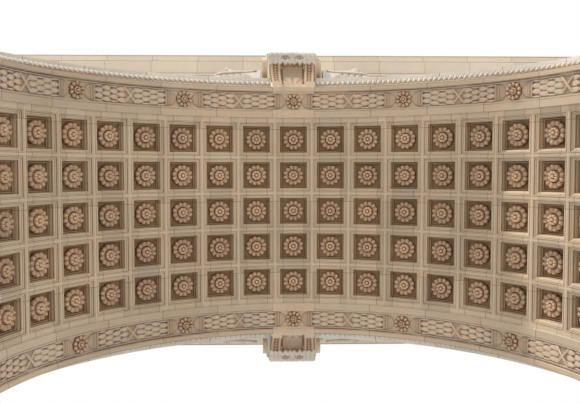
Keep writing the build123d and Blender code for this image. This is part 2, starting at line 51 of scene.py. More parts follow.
arch = {
    "spring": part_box("impost_left")[1].z,  # height of the spring line
    "vaultRadius": 4.7,
    "columns": 19,  # coffers across the vault
    "rows": 5,  # coffers from front to back
    "columnPitch": math.radians(9.1),
    "rowPitch": 0.73,
    "floorRadius": 4.89,  # back panels of the coffers
    "recessShadeFrom": (4.76, 4.9),  # where the coffers' stone turns to its darker tint: painted shade, with dirt, deeper in the recess
    "stoneJoint": 0.2133,  # joints along the vault, from the middle of each coffer
    "vaultJoint": 0.005,  # their width
    "crossJoint": 0.0035,
    "crossShift": 0.93,  # where the joints across the vault start
    "wallJoint": 0.004,
    "voussoir": math.radians(14),  # stones of the arch rings
    "voussoirJoint": 0.0009,  # in radians
    "panelRadius": 4.694,  # sunk panel of the soffit bands
    "smallRosetteRadius": 4.6935,
    "bandMiddle": 2.22,  # its middle, from front to back
    "bundles": 6,  # in a band, with a small rosette at both ends of each
    "bundlePitch": math.radians(27.3),
    "keyAngle": math.radians(5.2),
}
bothFaces = ((-1, "front"), (1, "back"))

# Camera, as in the photograph: low in the passage, looking almost straight up
view = {
    "place": (-0.4434, -0.8492, 0.5),
    "forward": (0.02655, 0.04737, 0.99852),
    "up": (0.0016, -0.99888, 0.04736),
    "focal": 685.5,  # in pixels of the 580 wide photograph
    "photoWidth": 580.0,
    "sensor": 36.0,
}


def addObject(name, data):
    piece = bpy.data.objects.new(name, data)
    scene.collection.objects.link(piece)
    return piece


def placeCamera():
    forward = Vector(view["forward"]).normalized()
    right = forward.cross(Vector(view["up"])).normalized()
    up = right.cross(forward)
    lens = bpy.data.cameras.new("photoView")
    lens.sensor_width = view["sensor"]
    lens.lens = view["focal"] / view["photoWidth"] * view["sensor"]
    lens.clip_end = 300
    turn = Matrix((right, up, -forward)).transposed().to_4x4()
    scene.camera = addObject("photoView", lens)
    scene.camera.matrix_world = Matrix.Translation(view["place"]) @ turn


placeCamera()
print("camera placed")


# Node trees, for shaders and for geometry

def put(socket, value):
    if isinstance(value, bpy.types.NodeSocket):
        socket.id_data.links.new(value, socket)
    else:
        socket.default_value = value


def fill(sockets, values):
    for label, value in values.items():
        put(sockets[label], value)


# A new node with its settings and its inputs, in the tree where the inputs come from
def grow(kind, inputs, tree=None, **settings):
    tree = tree or next(value.id_data for value in inputs.values() if isinstance(value, bpy.types.NodeSocket))
    node = tree.nodes.new(kind)
    for label, value in settings.items():
        setattr(node, label, value)
    fill(node.inputs, inputs)
    return node


def calc(operation, *values):
    return grow("ShaderNodeMath", dict(enumerate(values)), operation=operation).outputs[0]


def times(first, second):
    return calc("MULTIPLY", first, second)


def minus(first, second):
    return calc("SUBTRACT", first, second)


def timesPlus(first, second, third):
    return calc("MULTIPLY_ADD", first, second, third)


def larger(first, second):
    return calc("MAXIMUM", first, second)


def absolute(value):
    return calc("ABSOLUTE", value)


def smooth(value, low, high, outLow=0.0, outHigh=1.0):
    inputs = dict(enumerate((value, low, high, outLow, outHigh)))
    return grow("ShaderNodeMapRange", inputs, interpolation_type="SMOOTHSTEP").outputs[0]


def split(vector):
    return tuple(grow("ShaderNodeSeparateXYZ", {0: vector}).outputs)


def combine(x, y, z):
    return grow("ShaderNodeCombineXYZ", {0: x, 1: y, 2: z}).outputs[0]


def noise(vector, scale, detail, roughness):
    inputs = {"Vector": vector, "Scale": scale, "Detail": detail, "Roughness": roughness}
    return grow("ShaderNodeTexNoise", inputs).outputs[0]


def randomTone(first, second):
    spot = combine(first, second, 0.0)
    return grow("ShaderNodeTexWhiteNoise", {"Vector": spot}, noise_dimensions="2D").outputs["Value"]


def mixColour(factor, first, second):
    return grow("ShaderNodeMix", {0: factor, 6: first, 7: second}, data_type="RGBA").outputs[2]


def stretch(vector, factors):
    return grow("ShaderNodeVectorMath", {0: vector, 1: factors}, operation="MULTIPLY").outputs[0]


def scaled(vector, factor):
    return grow("ShaderNodeVectorMath", {0: vector, "Scale": factor}, operation="SCALE").outputs[0]


# A mask that the mesh carries at its points
def carriedMask(at, name):
    return grow("ShaderNodeAttribute", {}, at.id_data, attribute_name=name).outputs["Fac"]


def surfaceNormal(at):
    return at.id_data.nodes.new("ShaderNodeNewGeometry").outputs["Normal"]


# A mask that is 1 on the lines where a measure is a whole number of steps, and the step's number
def jointLine(measure, step, width):
    turn = calc("DIVIDE", measure, step)
    away = times(absolute(minus(turn, calc("ROUND", turn))), step)
    return smooth(away, width * 0.5, width * 1.5, 1.0, 0.0), calc("FLOOR", turn)


# Angle round the spring line from the crown, and distance from it
def aroundSpring(x, z):
    up = minus(z, arch["spring"])
    return calc("ARCTAN2", x, up), calc("SQRT", timesPlus(x, x, times(up, up)))


# A node group; its sockets are listed under their kinds
def newGroup(name, inputs, outputs, treeKind="ShaderNodeTree"):
    group = bpy.data.node_groups.new(name, treeKind)
    for way, sockets in (("INPUT", inputs), ("OUTPUT", outputs)):
        for kind, labels in sockets.items():
            for label in labels:
                group.interface.new_socket(label, in_out=way, socket_type="NodeSocket" + kind)
    return group, group.nodes.new("NodeGroupInput").outputs, group.nodes.new("NodeGroupOutput").inputs


# Old marble: broad tone, warm patches, fine grain, and a dark tint where the mask asks for it, for grime and for
# painted shade
def buildAgedMarble():
    group, given, made = newGroup("agedMarble", {
        "Vector": ["Vector"], "Color": ["Tint", "Warm Tint", "Grime And Shade Tint"], "Float": ["Warmth", "Mottle", "Grime And Shade"],
    }, {"Color": ["Color"], "Float": ["Roughness", "Height"]})
    at = given["Vector"]
    broad = noise(at, 0.55, 3.0, 0.55)
    patch = noise(stretch(at, (1.9, 1.9, 1.1)), 1.5, 5.0, 0.62)
    fine = noise(at, 21.0, 4.0, 0.65)
    grain = noise(at, 95.0, 2.0, 0.6)
    sway = 0.0
    for layer, share in ((broad, 0.42), (patch, 0.34), (fine, 0.24), (grain, 0.1)):
        sway = timesPlus(minus(layer, 0.5), share, sway)
    warm = times(smooth(patch, 0.42, 0.68), given["Warmth"])
    colour = mixColour(warm, given["Tint"], given["Warm Tint"])
    colour = scaled(colour, timesPlus(sway, given["Mottle"], 1.0))
    ragged = timesPlus(minus(fine, 0.5), 0.9, 1.0)
    grimeAndShade = times(given["Grime And Shade"], ragged)
    grimeAndShade = calc("MINIMUM", larger(grimeAndShade, 0.0), 0.96)
    roughness = timesPlus(fine, 0.25, timesPlus(grimeAndShade, 0.15, 0.58))
    height = timesPlus(fine, 0.7, times(grain, 0.3))
    colour = mixColour(grimeAndShade, colour, given["Grime And Shade Tint"])
    fill(made, {"Color": colour, "Roughness": roughness, "Height": height})
    return group


# The vault's stones: joints along it beside each coffer, cross joints, and how deep in a coffer a point lies, which
# paints shade with dirt into the coffers
def buildVaultStones():
    group, given, made = newGroup("vaultStones", {"Vector": ["Vector"]}, {"Float": ["Joint", "Tone", "Recess Shade"]})
    x, y, z = split(given["Vector"])
    angle, radius = aroundSpring(x, z)
    turn = calc("DIVIDE", angle, arch["columnPitch"])
    column = calc("ROUND", turn)
    within = times(absolute(minus(turn, column)), arch["columnPitch"] * arch["vaultRadius"])
    away = absolute(minus(within, arch["stoneJoint"]))
    along = smooth(away, arch["vaultJoint"] * 0.4, arch["vaultJoint"], 1.0, 0.0)
    onRib = calc("GREATER_THAN", within, arch["stoneJoint"])
    course = timesPlus(calc("FLOOR", turn), onRib, times(column, 1.37))
    place = timesPlus(onRib, arch["rowPitch"], calc("ADD", y, arch["crossShift"]))
    across, stone = jointLine(place, 2 * arch["rowPitch"], arch["crossJoint"])
    recessShade = smooth(radius, *arch["recessShadeFrom"])
    fill(made, {"Joint": larger(along, across), "Tone": randomTone(course, stone), "Recess Shade": recessShade})
    return group


# Voussoirs of the arch rings, and painted shade in dark, ragged lines along the soffit bands at the edges of their
# steps: distance from the middle, width, depth
ringShadeLines = ((2.405, 0.011, 1.0), (2.512, 0.009, 0.75), (2.03, 0.008, 0.5))


def buildRingStones():
    group, given, made = newGroup("ringStones", {"Vector": ["Vector"]}, {"Float": ["Joint", "Tone", "Shade Lines"]})
    x, y, z = split(given["Vector"])
    angle, radius = aroundSpring(x, z)
    shadeLines = 0.0
    for middle, width, depth in ringShadeLines:
        away = absolute(minus(absolute(y), middle))
        shadeLines = larger(smooth(away, width * 0.5, width * 1.6, depth, 0.0), shadeLines)
    shadeLines = times(shadeLines, smooth(noise(given["Vector"], 2.6, 3.0, 0.6), 0.3, 0.6, 0.45, 1.0))
    beyond = minus(absolute(angle), arch["keyAngle"])
    joint, stone = jointLine(beyond, arch["voussoir"], arch["voussoirJoint"])
    half = timesPlus(calc("SIGN", angle), 7.3, stone)
    shadeLines = times(shadeLines, calc("LESS_THAN", radius, arch["recessShadeFrom"][0]))
    fill(made, {"Joint": joint, "Tone": randomTone(half, calc("SIGN", y)), "Shade Lines": shadeLines})
    return group


# Courses of squared stone on upright faces, with joints in every other course moved by half a stone
def buildWallStones():
    group, given, made = newGroup("wallStones", {
        "Vector": ["Vector", "Normal"], "Float": ["Course Height", "Stone Length", "First Course"],
    }, {"Float": ["Joint", "Tone"]})
    x, y, z = split(given["Vector"])
    facing = split(given["Normal"])
    sideways = calc("GREATER_THAN", absolute(facing[0]), 0.6)
    upright = calc("LESS_THAN", absolute(facing[2]), 0.6)
    along = calc("ADD", times(y, sideways), times(x, minus(1.0, sideways)))
    height = minus(z, given["First Course"])
    level, course = jointLine(height, given["Course Height"], arch["wallJoint"])
    half = times(calc("FLOORED_MODULO", course, 2.0), 0.5)
    length = given["Stone Length"]
    end, stone = jointLine(timesPlus(half, length, along), length, arch["wallJoint"])
    tone = randomTone(timesPlus(course, 3.1, sideways), stone)
    fill(made, {"Joint": larger(times(level, upright), end), "Tone": tone})
    return group


agedMarble = buildAgedMarble()
vaultStones = buildVaultStones()
ringStones = buildRingStones()
wallStones = buildWallStones()

# Each finish: its tints, how far single stones differ, how deep its joints and grain go, and its courses
finishes = {
    "vaultMarble": {
        "tint": (0.76, 0.625, 0.46, 1), "warmTint": (0.7, 0.52, 0.34, 1), "grimeAndShadeTint": (0.19, 0.1, 0.045, 1),
        "warmth": 0.55, "mottle": 0.9, "stoneTone": 0.1, "jointGrime": 0.85, "bump": 0.4,
        # Tints deep in the coffers: painted shade, with dirt
        "recessShadeAndDirtTint": (0.48, 0.3, 0.145, 1), "recessShadeAndDirtWarmTint": (0.32, 0.2, 0.1, 1), "recessShadeAndGrime": 0.06,
    },
    "ringMarble": {
        "tint": (0.72, 0.58, 0.425, 1), "warmTint": (0.66, 0.475, 0.3, 1), "grimeAndShadeTint": (0.2, 0.1, 0.045, 1),
        "warmth": 0.6, "mottle": 0.9, "stoneTone": 0.1, "jointGrime": 0.85, "bump": 0.4,
        # A paler tint on faces that look to the front or back, and on all the soffit beyond the ring's edge: painted
        # sunlight
        "sunlitTint": (0.72, 0.67, 0.59, 1), "sunlitBeyond": (2.565, 2.6),
    },
    "wallMarble": {
        "tint": (0.6, 0.545, 0.46, 1), "warmTint": (0.53, 0.45, 0.345, 1), "grimeAndShadeTint": (0.19, 0.15, 0.11, 1),
        "warmth": 0.5, "mottle": 0.75, "stoneTone": 0.12, "jointGrime": 0.7, "bump": 0.35,
        "courses": {"Course Height": 0.5665, "Stone Length": 1.52, "First Course": arch["spring"]},
    },
    "corniceMarble": {
        "tint": (0.7, 0.63, 0.53, 1), "warmTint": (0.64, 0.53, 0.4, 1), "grimeAndShadeTint": (0.27, 0.13, 0.06, 1),
        # How much paler faces that look down are made: painted bounce light
        "warmth": 0.4, "mottle": 0.6, "stoneTone": 0.05, "jointGrime": 0.8, "bump": 0.35, "undersideBounceLight": 1.28,
        "courses": {"Course Height": 40.0, "Stone Length": 1.18, "First Course": -7.0},
    },
    "rosetteMarble": {
        "tint": (0.9, 0.64, 0.44, 1), "warmTint": (0.77, 0.5, 0.305, 1), "grimeAndShadeTint": (0.17, 0.085, 0.04, 1),
        "warmth": 0.6, "mottle": 1.9, "bump": 0.5,
    },
    "carvedMarble": {
        "tint": (0.77, 0.615, 0.45, 1), "warmTint": (0.7, 0.495, 0.32, 1), "grimeAndShadeTint": (0.21, 0.095, 0.035, 1),
        "warmth": 0.6, "mottle": 1.3, "bump": 0.5,
        # A paler tint on faces that look to the front or back: painted sunlight
        "sunlitTint": (0.74, 0.69, 0.61, 1),
    },
}
# Keystones: painted sunlight on every face that doesn't look down
finishes["keystoneMarble"] = dict(finishes["carvedMarble"], sunlitTint=(0.8, 0.74, 0.64, 1), sunlitAllRound=True)


# What all finishes share
allMarble = {
    "specular": 0.35,
    "grainDepth": 0.004,
    "jointDepth": 3.0,  # against the grain
    "outerPaintedLight": 0.25,  # painted light: how much paler the shaded soffit beyond the ring's edge is made
}


def shiftTints(marble, finish, mask, tint, warmTint):
    for label, key, other in (("Tint", "tint", tint), ("Warm Tint", "warmTint", warmTint)):
        put(marble.inputs[label], mixColour(mask, finish[key], finish[other]))


# A finish's nodes. The stones give joints and tones; the hollow mask darkens hollows and creases with grime and with
# painted shade.
def dressMaterial(name, stones=None, hollow=None):
    finish = finishes[name]
    material = bpy.data.materials.new(name)
    material.use_nodes = True
    tree = material.node_tree
    at = tree.nodes.new("ShaderNodeTexCoord").outputs["Object"]
    marble = grow("ShaderNodeGroup", {"Vector": at}, node_tree=agedMarble)
    fill(marble.inputs, {
        "Tint": finish["tint"], "Warm Tint": finish["warmTint"], "Grime And Shade Tint": finish["grimeAndShadeTint"],
        "Warmth": finish["warmth"], "Mottle": finish["mottle"],
    })
    colour, height = marble.outputs["Color"], marble.outputs["Height"]
    grimeAndShade = hollow(at) if hollow else 0.0
    # Painted sunlight: faces that look to the front or back, and on the keystones every face that doesn't look down,
    # turn to a paler tint; the mesh may carry more of it or less
    if "sunlitTint" in finish:
        facing = split(surfaceNormal(at))
        if finish.get("sunlitAllRound"):
            paintedSunlight = smooth(facing[2], -0.75, -0.35)
        else:
            paintedSunlight = smooth(absolute(facing[1]), 0.25, 0.75)
        # Painted light beyond the ring's edge: its faces that look down are made paler, and all of it takes the paler
        # tint
        if "sunlitBeyond" in finish:
            beyond = smooth(absolute(split(at)[1]), *finish["sunlitBeyond"])
            paler = times(beyond, minus(1.0, paintedSunlight))
            colour = scaled(colour, timesPlus(paler, allMarble["outerPaintedLight"], 1.0))
            paintedSunlight = larger(paintedSunlight, beyond)
        paintedSunlight = calc("ADD", paintedSunlight, carriedMask(at, "paintedLight"))
        paintedSunlight = calc("MINIMUM", larger(paintedSunlight, 0.0), 1.0)
        shiftTints(marble, finish, paintedSunlight, "sunlitTint", "sunlitTint")
    if stones:
        masonry = grow("ShaderNodeGroup", {"Vector": at}, node_tree=stones)
        fill(masonry.inputs, finish.get("courses", {}))
        if "Normal" in masonry.inputs:
            put(masonry.inputs["Normal"], surfaceNormal(at))
        joint, tone = masonry.outputs["Joint"], masonry.outputs["Tone"]
        # Painted shade with dirt: the coffers' stone turns darker and browner with depth
        if "Recess Shade" in masonry.outputs:
            recessShade = masonry.outputs["Recess Shade"]
            shiftTints(marble, finish, recessShade, "recessShadeAndDirtTint", "recessShadeAndDirtWarmTint")
            grimeAndShade = larger(times(recessShade, finish["recessShadeAndGrime"]), grimeAndShade)
        # Painted shade lines along the soffit bands, left off where painted sunlight pales the stone
        if "Shade Lines" in masonry.outputs:
            grimeAndShade = larger(times(masonry.outputs["Shade Lines"], minus(1.0, paintedSunlight)), grimeAndShade)
        grimeAndShade = larger(times(joint, finish["jointGrime"]), grimeAndShade)
        shade = timesPlus(minus(tone, 0.5), 2 * finish["stoneTone"], 1.0)
        colour = scaled(colour, shade)
        height = minus(height, times(joint, allMarble["jointDepth"]))
    # Painted bounce light: faces that look down are made paler
    if "undersideBounceLight" in finish:
        facing = split(surfaceNormal(at))[2]
        colour = scaled(colour, smooth(facing, -0.65, -0.2, finish["undersideBounceLight"], 1.0))
    put(marble.inputs["Grime And Shade"], grimeAndShade)
    bumped = {"Strength": finish["bump"], "Distance": allMarble["grainDepth"], "Height": height}
    fill(tree.nodes["Principled BSDF"].inputs, {
        "Base Color": colour, "Roughness": marble.outputs["Roughness"], "Specular IOR Level": allMarble["specular"],
        "Normal": grow("ShaderNodeBump", bumped).outputs["Normal"],
    })
    return material


# Grime and painted shade in the hollows and creases of a carving, from the mask its mesh carries
def carvedHollowGrimeAndShade(at):
    return carriedMask(at, "hollow")


# Dirt that rises from the ground on the lowest courses
def groundDirt(at):
    ragged = noise(at, 1.6, 4.0, 0.6)
    return smooth(timesPlus(ragged, -0.9, split(at)[2]), -0.35, 0.9, 0.5, 0.04)


# Painted shade in dark lines along the arrises under the main cornice, strongest on faces that look down: each line's
# distance from the middle, and its width
corniceShadeLines = {
    "lines": ((3.838, 0.034), (3.655, 0.022), (3.325, 0.012), (3.225, 0.012)),
    "flankShift": 6.0,  # how much farther out the flanks stand than the faces
    "bottom": 17.95,
    "top": 18.9,
    "depth": 0.75,
}


def paintedCorniceShade(at):
    x, y, z = split(at)
    out = larger(absolute(y), minus(absolute(x), corniceShadeLines["flankShift"]))
    lines = 0.0
    for middle, width in corniceShadeLines["lines"]:
        away = absolute(minus(out, middle))
        lines = larger(smooth(away, width * 0.6, width * 1.4, corniceShadeLines["depth"], 0.0), lines)
    low = calc("GREATER_THAN", z, corniceShadeLines["bottom"])
    high = calc("LESS_THAN", z, corniceShadeLines["top"])
    facing = split(surfaceNormal(at))[2]
    # Painted shade: full on faces that look down, faint on those that look up
    lines = times(lines, smooth(facing, -0.5, -0.15, 1.0, 0.1))
    return times(lines, times(low, high))


vaultMarble = dressMaterial("vaultMarble", vaultStones, carvedHollowGrimeAndShade)
ringMarble = dressMaterial("ringMarble", ringStones)
wallMarble = dressMaterial("wallMarble", wallStones, groundDirt)
corniceMarble = dressMaterial("corniceMarble", wallStones, paintedCorniceShade)
rosetteMarble = dressMaterial("rosetteMarble", hollow=carvedHollowGrimeAndShade)
carvedMarble = dressMaterial("carvedMarble", hollow=carvedHollowGrimeAndShade)
keystoneMarble = dressMaterial("keystoneMarble", hollow=carvedHollowGrimeAndShade)

dressed = {
    "coffer_stones": vaultMarble, "rib_stones": vaultMarble, "archivolt": ringMarble, "keystone": keystoneMarble,
    "spandrel_relief": carvedMarble,
}
for start in ("architrave", "frieze", "bed_course", "cornice", "attic_foot", "attic_cornice", "blocking_course"):
    dressed[start] = corniceMarble
for name, node in nodes.items():
    marble = next((material for start, material in dressed.items() if name.startswith(start)), wallMarble)
    node.data.materials.clear()
    node.data.materials.append(marble)
print("marble on every stone")


# Geometry Nodes: copies of a template stand round part of a ring that faces front and back
def buildRingRepeat():
    tree, given, made = newGroup("ringRepeat", {
        "Geometry": ["Geometry"], "Object": ["Template"], "Int": ["Count", "Seed"], "Vector": ["Centre"],
        "Float": ["First Angle", "Step Angle", "Radius", "Size Jitter", "Turn Jitter"], "Material": ["Material"],
    }, {"Geometry": ["Geometry"]}, "GeometryNodeTree")
    index = tree.nodes.new("GeometryNodeInputIndex").outputs[0]
    angle = timesPlus(index, given["Step Angle"], given["First Angle"])
    across, along = (times(calc(part, angle), given["Radius"]) for part in ("SINE", "COSINE"))
    spot = {0: combine(across, 0.0, along), 1: given["Centre"]}
    spot = grow("ShaderNodeVectorMath", spot).outputs[0]
    points = grow("GeometryNodePoints", {"Count": given["Count"], "Position": spot})
    template = grow("GeometryNodeObjectInfo", {"Object": given["Template"]})
    turn = grow("FunctionNodeEulerToRotation", {0: combine(0.0, angle, 0.0)})
    jitter, seed = given["Size Jitter"], given["Seed"]
    sizes = {2: minus(1.0, jitter), 3: calc("ADD", 1.0, jitter), "Seed": seed}
    copies = grow("GeometryNodeInstanceOnPoints", {
        "Points": points.outputs[0], "Instance": template.outputs["Geometry"], "Rotation": turn.outputs[0],
        "Scale": grow("FunctionNodeRandomValue", sizes).outputs[1],
    })
    jitter = given["Turn Jitter"]
    turns = {2: times(jitter, -1.0), 3: jitter, "Seed": calc("ADD", seed, 11.0)}
    spin = combine(0.0, 0.0, grow("FunctionNodeRandomValue", turns).outputs[1])
    spun = grow("GeometryNodeRotateInstances", {"Instances": copies.outputs[0], "Rotation": spin})
    real = grow("GeometryNodeRealizeInstances", {0: spun.outputs[0]})
    painted = {"Geometry": real.outputs[0], "Material": given["Material"]}
    put(made["Geometry"], grow("GeometryNodeSetMaterial", painted).outputs[0])
    return tree


ringRepeat = buildRingRepeat()


def repeatOnRing(name, template, material, count, first, step, radius, centre, sizeJitter=0.0, turnJitter=0.0, seed=3):
    holder = addObject(name, bpy.data.meshes.new(name))
    modifier = holder.modifiers.new("ringRepeat", "NODES")
    modifier.node_group = ringRepeat
    values = {
        "Template": template, "Count": count, "First Angle": first, "Step Angle": step, "Radius": radius,
        "Centre": centre, "Size Jitter": sizeJitter, "Turn Jitter": turnJitter, "Seed": seed, "Material": material,
    }
    for item in ringRepeat.interface.items_tree:
        if item.in_out == "INPUT" and item.name in values:
            modifier[item.identifier] = values[item.name]
    bpy.context.view_layer.update()
    mesh = bpy.data.meshes.new_from_object(holder.evaluated_get(bpy.context.evaluated_depsgraph_get()))
    holder.modifiers.remove(modifier)
    mesh.materials.clear()
    mesh.materials.append(material)
    mesh.polygons.foreach_set("material_index", [0] * len(mesh.polygons))
    holder.data = mesh
    return holder


# Meshes made point by point

def linkMesh(name, points, faces, hollows=None, flat=False, paintedLight=None):
    mesh = bpy.data.meshes.new(name)
    mesh.from_pydata(points, [], faces)
    mesh.polygons.foreach_set("use_smooth", [not flat] * len(mesh.polygons))
    for mask, values in (("hollow", hollows), ("paintedLight", paintedLight)):
        if values:
            mesh.attributes.new(mask, "FLOAT", "POINT").data.foreach_set("value", values)
    mesh.update()
    return addObject(name, mesh)


def outward(piece):
    shape = bmesh.new()
    shape.from_mesh(piece.data)
    bmesh.ops.recalc_face_normals(shape, faces=shape.faces[:])
    shape.to_mesh(piece.data)
    shape.free()
    return piece


# Faces between two rings of points that start at these numbers
def stripFaces(first, second, count):
    turns = [(step, (step + 1) % count) for step in range(count)]
    return [(first + step, second + step, second + after, first + after) for step, after in turns]


def gridFaces(rows, columns, first=0):
    starts = [first + row * columns + column for row in range(rows - 1) for column in range(columns - 1)]
    return [(at, at + 1, at + columns + 1, at + columns) for at in starts]


# The outer points of a grid, in order round it
def gridRim(rows, columns):
    corner = (rows - 1) * columns
    return (list(range(columns)) + [row * columns + columns - 1 for row in range(1, rows)]
            + [corner + column for column in range(columns - 2, -1, -1)]
            + [row * columns for row in range(rows - 2, 0, -1)])


# A closed shell between two grids of points: cell gives the front point, the back point, grime with painted shade, and
# painted sunlight
def shellFrom(name, rows, columns, cell):
    cells = [cell(row, column) for row in range(rows) for column in range(columns)]
    front, back, hollows, paintedLights = (list(part) for part in zip(*cells))
    behind, rim = len(cells), gridRim(rows, columns)
    faces = gridFaces(rows, columns) + gridFaces(rows, columns, behind)
    faces += [(at, behind + at, behind + after, after) for at, after in zip(rim, rim[1:] + rim[:1])]
    return outward(linkMesh(name, front + back, faces, hollows + hollows, paintedLight=paintedLights + paintedLights))


def clear(*templates):
    for template in templates:
        bpy.data.objects.remove(template)


# Several meshes as one piece, in the first one's material; the parts are cleared away
def joined(name, parts):
    shape = bmesh.new()
    for part in parts:
        shape.from_mesh(part.data)
    mesh = bpy.data.meshes.new(name)
    shape.to_mesh(mesh)
    shape.free()
    for material in parts[0].data.materials:
        mesh.materials.append(material)
    clear(*parts)
    return addObject(name, mesh)


def settle(piece, *replaced):
    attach(piece, "root")
    if replaced:
        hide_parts(*replaced)


# What both kinds of rosette share
petal = {
    "outerFrom": 0.58,  # of the rosette's radius
    "cut": 0.75,  # of the height
    "creaseShadeAndGrime": 1.2,
    "veinCut": 0.06,
}

# Rosettes: each ring gives its radius, its height over the panel, how far the creases between
# petals cut into it, and its grime with painted shade, darkest in the groove round the middle
rosette = {
    "petals": 12,
    "innerPetals": 8,
    "segments": 72,
    "rings": [
        (0.012, 0.15, 0.0, 0.0), (0.023, 0.14, 0.0, 0.1), (0.03, 0.108, 0.0, 0.8), (0.04, 0.104, 0.0, 0.85),
        (0.05, 0.132, 0.3, 0.0), (0.072, 0.142, 0.35, 0.0), (0.091, 0.13, 0.4, 0.05), (0.097, 0.066, 0.0, 1.0),
        (0.106, 0.054, 0.0, 1.0), (0.113, 0.08, 0.05, 0.5), (0.128, 0.1, 0.1, 0.2), (0.15, 0.11, 0.25, 0.15),
        (0.178, 0.124, 0.5, 0.0), (0.203, 0.106, 0.75, 0.0),
    ],
    "lobe": 0.075,  # how far the petal tips stand beyond the creases, of the radius
    "vein": 0.35,
    "jitter": (0.015, 0.06),  # of size and of turn
}
smallRosette = {
    "petals": 10,
    "innerPetals": 5,
    "segments": 80,
    "rings": [
        (0.01, 0.082, 0.0, 0.0), (0.018, 0.076, 0.0, 0.1), (0.026, 0.05, 0.0, 1.0), (0.034, 0.052, 0.1, 0.8),
        (0.045, 0.066, 0.3, 0.1), (0.058, 0.062, 0.4, 0.15), (0.066, 0.036, 0.2, 0.9), (0.076, 0.036, 0.6, 0.7),
        (0.096, 0.054, 0.95, 0.25), (0.12, 0.066, 0.9, 0.05), (0.142, 0.06, 0.7, 0.0), (0.158, 0.036, 0.6, 0.6),
    ],
    "lobe": 0.14,
    "vein": 0.2,
    "jitter": (0.01, 0.1),
}


def rosetteTemplate(name, flower):
    segments, radii = flower["segments"], [ring[0] for ring in flower["rings"]]
    points = [(0, 0, -flower["rings"][0][1])]
    hollows = [0.0]
    rings = flower["rings"] + [(radii[-1], 0.0, 0.0, 0.9)]
    for radius, height, crease, grimeAndShade in rings:
        outer = radius > radii[-1] * petal["outerFrom"]
        petals = flower["petals"] if outer else flower["innerPetals"]
        for segment in range(segments):
            angle = 2 * math.pi * segment / segments
            wave = abs(math.sin(petals * angle / 2))
            reach, vein = radius, 0.0
            if outer:
                reach = radius * (1 - flower["lobe"] * (1 - wave ** 0.6) * (radius / radii[-1]) ** 3)
                vein = 0.5 + 0.5 * math.cos(3 * petals * angle)
            cut = crease * (1 - wave ** 0.5)
            fall = height * (1 - cut * petal["cut"] - vein * petal["veinCut"])
            points.append((reach * math.cos(angle), reach * math.sin(angle), -fall))
            # Grime with painted shade, deeper in the creases between petals and along the veins
            hollows.append(min(1.0, grimeAndShade + cut * petal["creaseShadeAndGrime"] + vein * flower["vein"]))
    faces = [(0, 1 + segment, 1 + (segment + 1) % segments) for segment in range(segments)]
    starts = [1 + ring * segments for ring in range(len(rings))]
    for low, high in zip(starts, starts[1:]):
        faces += stripFaces(low, high, segments)
    faces.append(tuple(range(starts[-1] + segments - 1, starts[-1] - 1, -1)))
    faces = [tuple(reversed(face)) for face in faces]  # it hangs down, so its front looks to -Z
    return linkMesh(name, points, faces, hollows)


# Mouldings round each coffer: how far each line lies inside the frame, its depth over the ribs, its grime with painted
# shade along the steps
moulding = {
    "halfWidth": 0.3292,
    "halfDepth": 0.321,
    "lines": [
        (-0.021, 0.004, 0.9), (-0.020, -0.004, 0.9), (-0.010, -0.005, 0.0), (-0.002, -0.004, 0.0), (0.001, 0.006, 0.9),
        (0.006, 0.008, 0.8), (0.010, 0.010, 0.0), (0.024, 0.012, 0.0), (0.026, 0.020, 0.5), (0.030, 0.024, 0.3),
        (0.034, 0.026, 0.0), (0.049, 0.036, 0.0), (0.053, 0.046, 0.4), (0.057, 0.055, 0.8),
        (0.058, 0.146, 0.7), (0.062, 0.152, 0.95), (0.071, 0.153, 0.8), (0.073, 0.136, 0.0), (0.088, 0.136, 0.0),
        (0.090, 0.158, 1.0), (0.099, 0.159, 0.9), (0.102, 0.156, 0.2), (0.111, 0.158, 0.3), (0.114, 0.170, 1.0),
        (0.040, 0.174, 1.0), (-0.010, 0.030, 1.0),
    ],
}


def mouldingTemplate():
    steps = (-1, -0.5, 0, 0.5)
    loop = [(step, -1) for step in steps] + [(1, -1), (1, 1)] + [(-step, 1) for step in steps[1:]] + [(-1, 1)]
    points, hollows = [], []
    for inset, depth, grimeAndShade in moulding["lines"]:
        for across, along in loop:
            x = across * (moulding["halfWidth"] - inset)
            curve = x * x / (2 * arch["vaultRadius"]) if inset < 0 else 0.0
            points.append((x, along * (moulding["halfDepth"] - inset), depth - curve))
            hollows.append(grimeAndShade)
    count, around = len(moulding["lines"]), len(loop)
    faces = []
    for line in range(count):
        faces += stripFaces(around * line, around * ((line + 1) % count), around)
    return outward(linkMesh("mouldingTemplate", points, faces, hollows, flat=True))


# Copies of a template at every coffer of a row
def alongCoffers(name, template, material, row, radius, *jitter):
    first = -(arch["columns"] - 1) / 2 * arch["columnPitch"]
    centre = (0, (row - (arch["rows"] - 1) / 2) * arch["rowPitch"], arch["spring"])
    return repeatOnRing(name, template, material, arch["columns"], first, arch["columnPitch"], radius, centre, *jitter)


# Copies of a template along the middle of a soffit band
def alongBand(name, template, material, side, count, radius, *jitter):
    first = -(count - 1) / 2 * arch["bundlePitch"]
    centre = (0, side * arch["bandMiddle"], arch["spring"])
    return repeatOnRing(name, template, material, count, first, arch["bundlePitch"], radius, centre, *jitter)


frameRing = mouldingTemplate()
mouldings = joined("cofferMouldings", [
    alongCoffers("mouldingRow", frameRing, vaultMarble, row, arch["vaultRadius"]) for row in range(arch["rows"])
])
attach(mouldings, "root")
clear(frameRing)
print("coffers moulded")

bloom = rosetteTemplate("rosetteTemplate", rosette)
for row in range(arch["rows"]):
    name = f"cofferRosettes_{row + 1}"
    flowers = alongCoffers(name, bloom, rosetteMarble, row, arch["floorRadius"], *rosette["jitter"], row + 1)
    settle(flowers, f"rosettes_row_{row + 1}")
clear(bloom)
print("rosettes carved")

